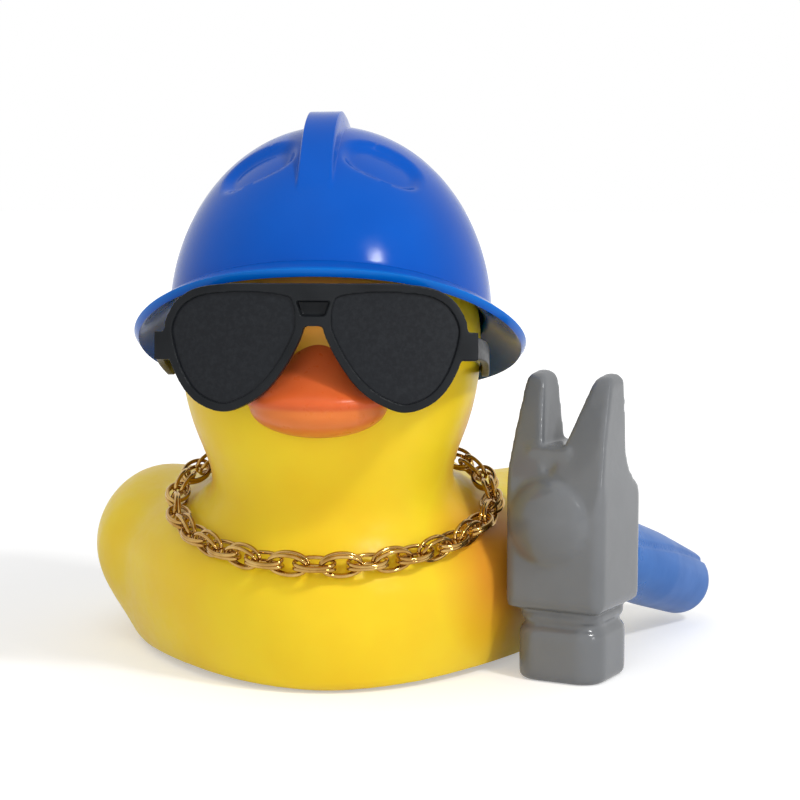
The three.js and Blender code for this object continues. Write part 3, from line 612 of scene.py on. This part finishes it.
def hatShell():
    piece = domeMesh()
    comb = combShape()
    panels = [panelPlace(side) for side in (-1, 1)]
    for vert in piece.data.vertices:
        x, y, z = vert.co
        if z < -0.5:
            vert.co = brimSpot(x, y, int(round(-z)) - 1)
            continue
        spot = Vector((x * outsideHalf, y * halfY, z * domeHeight))
        raiseComb(spot, *comb)
        for panel in panels:
            dishPanel(spot, *panel)
        vert.co = spot
    for vert in piece.data.vertices:
        vert.co *= mm
    selectOnly(piece)
    bpy.ops.object.mode_set(mode='EDIT')
    bpy.ops.mesh.select_all(action='SELECT')
    bpy.ops.mesh.remove_doubles(threshold=0.01 * mm)
    bpy.ops.mesh.normals_make_consistent(inside=False)
    bpy.ops.object.mode_set(mode='OBJECT')
    addModifier(piece, 'SOLIDIFY', thickness=hat['wall'] * mm, offset=-1.0, use_even_offset=False)
    roundEdges(piece, hat['edgeRound'], 55)
    # a painted highlight makes the lip a little paler, so the material is told how near each corner is to the
    # edge
    lipHighlight = piece.data.attributes.new("lipHighlight", 'FLOAT', 'POINT')
    for vert, mark in zip(piece.data.vertices, lipHighlight.data):
        x, y, z = vert.co / mm
        angle = math.atan2(y / halfY, x / outsideHalf)
        reach = brimReach(angle)
        edge = math.hypot(math.cos(angle) * (outsideHalf + reach), math.sin(angle) * (halfY + reach))
        mark.value = 1 - smoothStep(edge - math.hypot(x, y), *hat['lipHighlightBand'])
    place = Matrix.Translation(Vector(hat['seat']) * mm)
    place @= Matrix.Rotation(-math.radians(hat['tilt']), 4, 'X')
    place @= Matrix.Rotation(-math.radians(hat['yaw']), 4, 'Z')
    piece.data.transform(place)
    selectOnly(piece)
    bpy.ops.object.shade_smooth_by_angle(angle=math.radians(40))
    return piece


seat(hatShell(), hatMaterial(), "hat_plastic", "hard_hat")
print("hard hat done")

# Sunglasses, drawn flat with the bridge at the origin and then wrapped round the face
glasses = {
    'rimHeight': 19.0,
    'rimReach': 22.8,
    'rimWidth': 1.3,
    'thick': 2.2,
    'wrapRadius': 62.0,
    'place': (0.0, -50.3, 65.9),
    'lean': 4.0,
    'corners': (
        (0.06, 0.32), (0.1, 0.46), (0.17, 0.62), (0.28, 0.8), (0.42, 0.93),
        (0.6, 1.0), (0.8, 0.9), (0.93, 0.68), (1.0, 0.38), (0.96, 0.2),
        (0.86, 0.07), (0.7, 0.0), (0.4, -0.02), (0.14, 0.02), (0.07, 0.14),
    ),
    'outlineSteps': 8,                            # points between two corners
    'bridge': (
        (-9.6, 0.38), (9.6, 0.38), (5.0, -9.6), (3.7, -7.6), (2.4, -6.4), (0.9, -6.0),
        (-0.9, -6.0), (-2.4, -6.4), (-3.7, -7.6), (-5.0, -9.6),
    ),
    'keyhole': ((-2.5, -2.2), (2.5, -2.2), (1.7, -4.5), (-1.7, -4.5)),
    'keyholeFloor': 0.7,
    'block': ((22.2, -7.0), (24.4, -7.0), (24.4, -11.3), (22.2, -11.3)),
    'grid': 0.2,
    'lensGrid': 0.3,
    'smoothing': 7,
    'lensSmoothing': 3,
    'lensUnderRim': 0.5,
    'lensBack': 0.5,
    'lensFront': 1.75,
    'armCut': -46.0,                              # the arms begin behind this, and end above armLow
    'armLow': 49.6,
    'armRound': 0.25,
    'black': (0.0080, 0.0092, 0.0108),
    'blackWorn': (0.0130, 0.0145, 0.0165),
    'lens': (0.0072, 0.0084, 0.0108),
    'lensGrain': (0.0135, 0.0155, 0.0185),
    'frameClouds': 200,
    'frameGrain': 1500,
    'frameRoughness': (0.3, 0.42),
    'frameSpecular': 0.12,
    'lensFlecks': 1400,
    'lensRoughness': (0.34, 0.5),
    'lensSpecular': 0.16,
}


def frameMaterial():
    material, tree, shader = newMaterial("framePlastic")
    shade = patches(tree, noiseAt(tree, glasses['frameClouds']), 0.3, 0.7)
    link(tree, mixColors(tree, shade, glasses['black'], glasses['blackWorn']), shader.inputs["Base Color"])
    grain = noiseAt(tree, glasses['frameGrain'])
    roughen(tree, shader, grain, *glasses['frameRoughness'])
    shader.inputs["Specular IOR Level"].default_value = glasses['frameSpecular']
    addBump(tree, shader, grain.outputs["Fac"], 0.2, 0.04)
    return material


def lensMaterial():
    material, tree, shader = newMaterial("lensPlastic")
    flecks = noiseAt(tree, glasses['lensFlecks'], 6.0, 0.7)
    shade = patches(tree, flecks, 0.42, 0.7)
    link(tree, mixColors(tree, shade, glasses['lens'], glasses['lensGrain']), shader.inputs["Base Color"])
    roughen(tree, shader, flecks, *glasses['lensRoughness'])
    shader.inputs["Specular IOR Level"].default_value = glasses['lensSpecular']
    addBump(tree, shader, flecks.outputs["Fac"], 0.3, 0.05)
    return material


def rimOutline():
    # a smooth curve through the rim's corners
    corners = [Vector((x * glasses['rimReach'], -y * glasses['rimHeight'])) for x, y in glasses['corners']]
    outline = []
    for i in range(len(corners)):
        p0, p1, p2, p3 = (corners[(i + k) % len(corners)] for k in (-1, 0, 1, 2))
        for j in range(glasses['outlineSteps']):
            t = j / glasses['outlineSteps']
            straight = 2 * p1 + (p2 - p0) * t
            bent = (2 * p0 - 5 * p1 + 4 * p2 - p3) * t ** 2
            outline.append(0.5 * (straight + bent + (3 * p1 - p0 - 3 * p2 + p3) * t ** 3))
    return outline


def flatPlate(name, outline, back, front, side=1, inset=0.0, ring=False):
    # an outline in mm filled, inset, and raised from back to front
    bpy.ops.object.select_all(action='DESELECT')
    bpy.ops.mesh.primitive_circle_add(vertices=len(outline), radius=1.0, fill_type='NGON')
    piece = bpy.context.object
    piece.name = name
    for vert, spot in zip(piece.data.vertices, outline):
        vert.co = Vector((spot[0] * side, spot[1], back))
    selectOnly(piece)
    bpy.ops.object.mode_set(mode='EDIT')
    bpy.ops.mesh.select_mode(type='FACE')
    bpy.ops.mesh.select_all(action='SELECT')
    if inset:
        bpy.ops.mesh.inset(thickness=inset, depth=0.0)
        if ring:
            bpy.ops.mesh.delete(type='FACE')
        else:
            bpy.ops.mesh.select_all(action='INVERT')
            bpy.ops.mesh.delete(type='FACE')
    bpy.ops.mesh.select_all(action='SELECT')
    bpy.ops.mesh.extrude_region_move(TRANSFORM_OT_translate={'value': (0, 0, front - back)})
    bpy.ops.mesh.select_all(action='SELECT')
    bpy.ops.mesh.normals_make_consistent(inside=False)
    bpy.ops.object.mode_set(mode='OBJECT')
    return piece


def wrapRound(piece):
    for vert in piece.data.vertices:
        bend = vert.co.x / glasses['wrapRadius']
        reach = glasses['wrapRadius'] + vert.co.z
        forward = reach * math.cos(bend) - glasses['wrapRadius']
        vert.co = Vector((reach * math.sin(bend), vert.co.y, forward))
    leanBack = Matrix.Rotation(math.pi / 2 - math.radians(glasses['lean']), 4, 'X')
    piece.data.transform(Matrix.Scale(mm, 4) @ Matrix.Translation(glasses['place']) @ leanBack)


def glassesFront():
    thick = glasses['thick']
    outline = rimOutline()
    plates = [flatPlate("bridge", glasses['bridge'], 0.0, thick)]
    for side in (-1, 1):
        plates.append(flatPlate("rim", outline, 0.0, thick, side, glasses['rimWidth'], True))
        plates.append(flatPlate("endBlock", glasses['block'], 0.0, thick, side))
    front = joined("glassesFrame", *plates)
    # the bridge plate covers a little of each lens, so the lens openings are cut clear again
    voxelForm(front, glasses['grid'])
    cutters = [
        flatPlate("lensCut", outline, -1.0, thick + 1.0, side, glasses['rimWidth']) for side in (-1, 1)
    ]
    cutters.append(flatPlate("keyholeCut", glasses['keyhole'], glasses['keyholeFloor'], thick + 1.0))
    for cutter in cutters:
        addModifier(front, 'BOOLEAN', operation='DIFFERENCE', solver='EXACT', object=cutter)
        bpy.data.objects.remove(cutter)
    voxelForm(front, glasses['grid'], glasses['smoothing'])
    wrapRound(front)
    return front


def glassesArms():
    arms = copyOfNode("glasses_frame", "glassesArms")
    bpy.ops.object.mode_set(mode='EDIT')
    cuts = (((0, glasses['armCut'] * mm, 0), (0, -1, 0)), ((0, 0, glasses['armLow'] * mm), (0, 0, -1)))
    for spot, way in cuts:
        bpy.ops.mesh.select_all(action='SELECT')
        bpy.ops.mesh.bisect(plane_co=spot, plane_no=way, clear_outer=True, use_fill=True)
    bpy.ops.object.mode_set(mode='OBJECT')
    roundEdges(arms, glasses['armRound'], 40)
    return arms


glassesFrame = joined("glassesFrame", glassesFront(), glassesArms())
bpy.ops.object.shade_smooth_by_angle(angle=math.radians(45))
seat(glassesFrame, frameMaterial(), "frame_plastic", "glasses_frame")
darkLens = lensMaterial()
for side, name in ((-1, "lens_left"), (1, "lens_right")):
    back, front = glasses['lensBack'], glasses['lensFront']
    inset = glasses['rimWidth'] - glasses['lensUnderRim']
    lens = flatPlate(name.replace("lens_", "darkLens"), rimOutline(), back, front, side, inset)
    voxelForm(lens, glasses['lensGrid'], glasses['lensSmoothing'])
    wrapRound(lens)
    bpy.ops.object.shade_smooth()
    seat(lens, darkLens, "lens_plastic", name)
print("sunglasses done")

# Neck chain: two fanned oval rings for each pair, laid where the CAD pair lies
chain = {
    'length': 7.0,
    'height': 4.2,
    'wire': 0.66,
    'apart': 0.46,                                # half the space between the rings of a pair
    'fan': 9.0,
    'worn': 350,
    'roughness': (0.07, 0.15),
    'gold': (0.40, 0.22, 0.055),
    'goldPale': (0.58, 0.38, 0.13),
}


def goldMaterial():
    material, tree, shader = newMaterial("goldPlate")
    worn = noiseAt(tree, chain['worn'])
    color = mixColors(tree, patches(tree, worn), chain['gold'], chain['goldPale'])
    link(tree, color, shader.inputs["Base Color"])
    roughen(tree, shader, worn, *chain['roughness'])
    shader.inputs["Metallic"].default_value = 1.0
    return material


def ringPair():
    bpy.ops.object.select_all(action='DESELECT')
    wire = chain['wire'] / 2
    halfLong = chain['length'] / 2 - wire
    halfTall = chain['height'] / 2 - wire
    rings = []
    for side in (-1, 1):
        bpy.ops.mesh.primitive_torus_add(
            major_radius=halfTall, minor_radius=wire, major_segments=36, minor_segments=10)
        ring = bpy.context.object
        # the round ring is drawn out into an oval whose wire stays round
        for vert in ring.data.vertices:
            around = math.atan2(vert.co.y, vert.co.x)
            fromMiddle = math.hypot(vert.co.x, vert.co.y) - halfTall
            normal = Vector((math.cos(around) / halfLong, math.sin(around) / halfTall, 0)).normalized()
            middle = Vector((halfLong * math.cos(around), halfTall * math.sin(around), vert.co.z))
            vert.co = middle + normal * fromMiddle
        tilt = Matrix.Rotation(math.radians(chain['fan']) * side, 4, 'X')
        aside = Matrix.Translation((0, 0, chain['apart'] * side))
        ring.data.transform(Matrix.Scale(mm, 4) @ aside @ tilt)
        rings.append(ring)
    return joined("ringPair", *rings)


def axesOf(node):
    # a CAD pair's long way, tall way and thin way, from how its corners spread
    spots = np.array([vert.co for vert in node.data.vertices])
    centre = spots.mean(0)
    _, axes = np.linalg.eigh(np.cov((spots - centre).T))
    longWay, tallWay = Vector(axes[:, 2]), Vector(axes[:, 1])
    thinWay = longWay.cross(tallWay)
    turned = Matrix((longWay, tallWay, thinWay)).transposed().to_4x4()
    return Matrix.Translation(Vector(centre)) @ turned


goldPlate = goldMaterial()
firstPair = ringPair()
for name in sorted(n for n in nodes if n.startswith("chain_link")):
    pair = bpy.data.objects.new(name.replace("chain_link", "ringPair"), firstPair.data.copy())
    bpy.context.scene.collection.objects.link(pair)
    pair.data.transform(axesOf(nodes[name]))
    selectOnly(pair)
    bpy.ops.object.shade_smooth()
    seat(pair, goldPlate, "chain_metal", name)
bpy.data.objects.remove(firstPair)
print("chain done")

# Hammer: one thickly painted head, and a blue grip with its parting line
hammer = {
    'place': (39.6, -22.0, 0.0),
    'yaw': -25.0,
    'grid': 0.33,
    'smoothing': 26,
    'notchFill': ((-1.5, -1.68, 35.9), (7.0, 10.66, 5.2)),    # centre and sizes, below the claws
    'boss': ((-1.1, -8.1, 26.4), (6.6, 2.7, 6.9)),            # centre and half sizes
    'bead': ((0.0, 0.0, 10.6), (7.2, 7.2, 0.75)),             # centre and half sizes
    'beadRound': 0.45,
    'gripSmoothing': 22,
    'grey': (0.124, 0.130, 0.138),
    'greyWorn': (0.160, 0.166, 0.174),
    'blue': (0.006, 0.125, 0.45),
    'blueDeep': (0.004, 0.104, 0.39),
    'partingUp': (14.0, 44.0),                                # the parting line's angle, near and far
    'partingWidth': 0.8,
    'partingDepth': 0.45,
    'clouds': 70,
    'pits': 260,
    'lumpDepth': 0.35,
    'roughness': (0.15, 0.26),
    'gripClouds': 110,
    'gripRoughness': (0.26, 0.38),
    'gripSpecular': 0.14,
}
hammerTurn = Matrix.Rotation(math.radians(hammer['yaw']), 4, 'Z')
hammerPlace = Matrix.Translation(Vector(hammer['place'])) @ hammerTurn


def paintMaterial():
    material, tree, shader = newMaterial("hammerPaint")
    clouds = noiseAt(tree, hammer['clouds'])
    color = mixColors(tree, patches(tree, clouds, 0.35, 0.7, 0.6), hammer['grey'], hammer['greyWorn'])
    link(tree, color, shader.inputs["Base Color"])
    pits = noiseAt(tree, hammer['pits'], 5.0)
    roughen(tree, shader, pits, *hammer['roughness'])
    fineLumps = mathNode(tree, 'MULTIPLY', pits.outputs["Fac"], 0.35)
    lumps = mathNode(tree, 'ADD', clouds.outputs["Fac"], fineLumps)
    addBump(tree, shader, lumps, 0.4, hammer['lumpDepth'])
    return material


def gripMaterial():
    material, tree, shader = newMaterial("handlePlastic")
    clouds = noiseAt(tree, hammer['gripClouds'])
    color = mixColors(tree, patches(tree, clouds), hammer['blue'], hammer['blueDeep'])
    link(tree, color, shader.inputs["Base Color"])
    roughen(tree, shader, clouds, *hammer['gripRoughness'])
    shader.inputs["Specular IOR Level"].default_value = hammer['gripSpecular']
    return material


def placeOnHammer(piece, centre, size):
    local = Matrix.Translation(centre) @ Matrix.Diagonal((*size, 1.0))
    piece.data.transform(Matrix.Scale(mm, 4) @ hammerPlace @ local)


def paintedHead():
    head = copyOfNode("hammer_head", "hammerHead")
    bpy.ops.object.select_all(action='DESELECT')
    bpy.ops.mesh.primitive_cube_add(size=1.0)
    fill = bpy.context.object
    placeOnHammer(fill, *hammer['notchFill'])
    bpy.ops.object.select_all(action='DESELECT')
    bpy.ops.mesh.primitive_uv_sphere_add(segments=64, ring_count=32, radius=1.0)
    boss = bpy.context.object
    placeOnHammer(boss, *hammer['boss'])
    bpy.ops.object.select_all(action='DESELECT')
    bpy.ops.mesh.primitive_cube_add(size=2.0)
    bead = bpy.context.object
    addModifier(bead, 'BEVEL', width=hammer['beadRound'], segments=4)
    placeOnHammer(bead, *hammer['bead'])
    head = joined("hammerHead", head, fill, boss, bead)
    voxelForm(head, hammer['grid'] * mm, hammer['smoothing'])
    bpy.ops.object.shade_smooth()
    return head


seat(paintedHead(), paintMaterial(), "hammer_paint", "hammer_head")

hammerHandle = copyOfNode("hammer_handle", "hammerHandle")
voxelForm(hammerHandle, hammer['grid'] * mm, hammer['gripSmoothing'])


def cutPartingLine(grip):
    # a narrow groove along the grip's right side, higher at the far end
    inHammer = (Matrix.Scale(mm, 4) @ hammerPlace).inverted()
    spots = np.array([inHammer @ vert.co for vert in grip.data.vertices])
    spots -= spots.mean(0)
    along = np.linalg.svd(spots, full_matrices=False)[2][0]
    along *= np.sign(along[1])
    rightWay = np.cross(along, (0.0, 0.0, 1.0))
    rightWay /= np.linalg.norm(rightWay)
    far, right, high = spots @ along, spots @ rightWay, spots @ np.cross(rightWay, along)
    nearUp, farUp = hammer['partingUp']
    depth = hammer['partingDepth'] * mm
    for vert, reach, across, over in zip(grip.data.vertices, far, right, high):
        up = math.radians(nearUp + (farUp - nearUp) * smoothStep(reach, far.min(), far.max()))
        if across * math.cos(up) + over * math.sin(up) < 1.0:
            continue
        away = abs(over * math.cos(up) - across * math.sin(up))
        vert.co -= vert.normal * depth * (1 - smoothStep(away, 0.0, hammer['partingWidth']))


cutPartingLine(hammerHandle)
bpy.ops.object.shade_smooth()
seat(hammerHandle, gripMaterial(), "handle_plastic", "hammer_handle")
print("hammer done")

# Floor, light and view
studio = {
    'floorSize': 3.0,
    'key': (47.0, 40.0, 0.7, (0.09, 0.07), 2.1),          # turn, rise, distance, size and power
    'top': (-25.0, 68.0, 0.8, (0.5, 0.4), 0.7),
    'strip': (49.0, 9.0, 0.55, (0.015, 0.16), 0.35),
    'front': (-8.0, 14.0, 1.0, (0.6, 0.4), 2.3),
    'shownInGloss': ('key', 'strip'),
    'worldStrength': 0.52,
    'floorLift': (0.36, 0.75),                            # what the floor gains near the duck and far off
    'floorFade': (0.08, 0.45),
}


def areaLight(name, degreesTurn, degreesRise, distance, size, power):
    data = bpy.data.lights.new(name, 'AREA')
    data.energy = power
    data.shape = 'RECTANGLE'
    data.size, data.size_y = size
    lamp = bpy.data.objects.new(name, data)
    bpy.context.scene.collection.objects.link(lamp)
    away = directionTo(degreesTurn, degreesRise)
    lamp.location = aim + away * distance
    lamp.rotation_euler = away.to_track_quat('Z', 'Y').to_euler()
    return lamp


for name in ('key', 'top', 'strip', 'front'):
    areaLight(name + "Light", *studio[name]).visible_glossy = name in studio['shownInGloss']


def seenRays(tree):
    # rays from the camera, and those that a gloss or a clear part sends on, see a white room
    rays = addNode(tree, 'ShaderNodeLightPath')
    seen = mathNode(tree, 'ADD', rays.outputs["Is Camera Ray"], rays.outputs["Is Glossy Ray"])
    return mathNode(tree, 'ADD', seen, rays.outputs["Is Transmission Ray"], clamped=True)


bpy.ops.object.select_all(action='DESELECT')
bpy.ops.mesh.primitive_plane_add(size=studio['floorSize'])
floor = bpy.context.object
floor.name = "floor"
floorPaper, tree, shader = newMaterial("floorPaper")
shader.inputs["Base Color"].default_value = (0.8, 0.8, 0.8, 1.0)
shader.inputs["Roughness"].default_value = 0.7
shader.inputs["Specular IOR Level"].default_value = 0.0
shader.inputs["Emission Color"].default_value = (1.0, 1.0, 1.0, 1.0)
floorPlace = addNode(tree, 'ShaderNodeTexCoord')
floorAway = addNode(tree, 'ShaderNodeVectorMath', operation='LENGTH')
link(tree, floorPlace.outputs["Object"], floorAway.inputs[0])
floorGain = remap(tree, floorAway.outputs["Value"], *studio['floorFade'], *studio['floorLift'])
floorGlow = mathNode(tree, 'MULTIPLY', seenRays(tree), floorGain)
link(tree, floorGlow, shader.inputs["Emission Strength"])
floor.data.materials.append(floorPaper)

world = bpy.data.worlds.new("studioWorld")
bpy.context.scene.world = world
world.use_nodes = True
tree = world.node_tree
soft = tree.nodes["Background"]
soft.inputs["Color"].default_value = (1.0, 1.0, 1.0, 1.0)
soft.inputs["Strength"].default_value = studio['worldStrength']
white = addNode(tree, 'ShaderNodeBackground')
white.inputs["Strength"].default_value = 1.0
white.inputs["Color"].default_value = (1.0, 1.0, 1.0, 1.0)
choose = addNode(tree, 'ShaderNodeMixShader')
link(tree, seenRays(tree), choose.inputs[0])
link(tree, soft.outputs[0], choose.inputs[1])
link(tree, white.outputs[0], choose.inputs[2])
link(tree, choose.outputs[0], tree.nodes["World Output"].inputs["Surface"])

bpy.context.scene.view_settings.view_transform = 'Standard'
print("stage set")
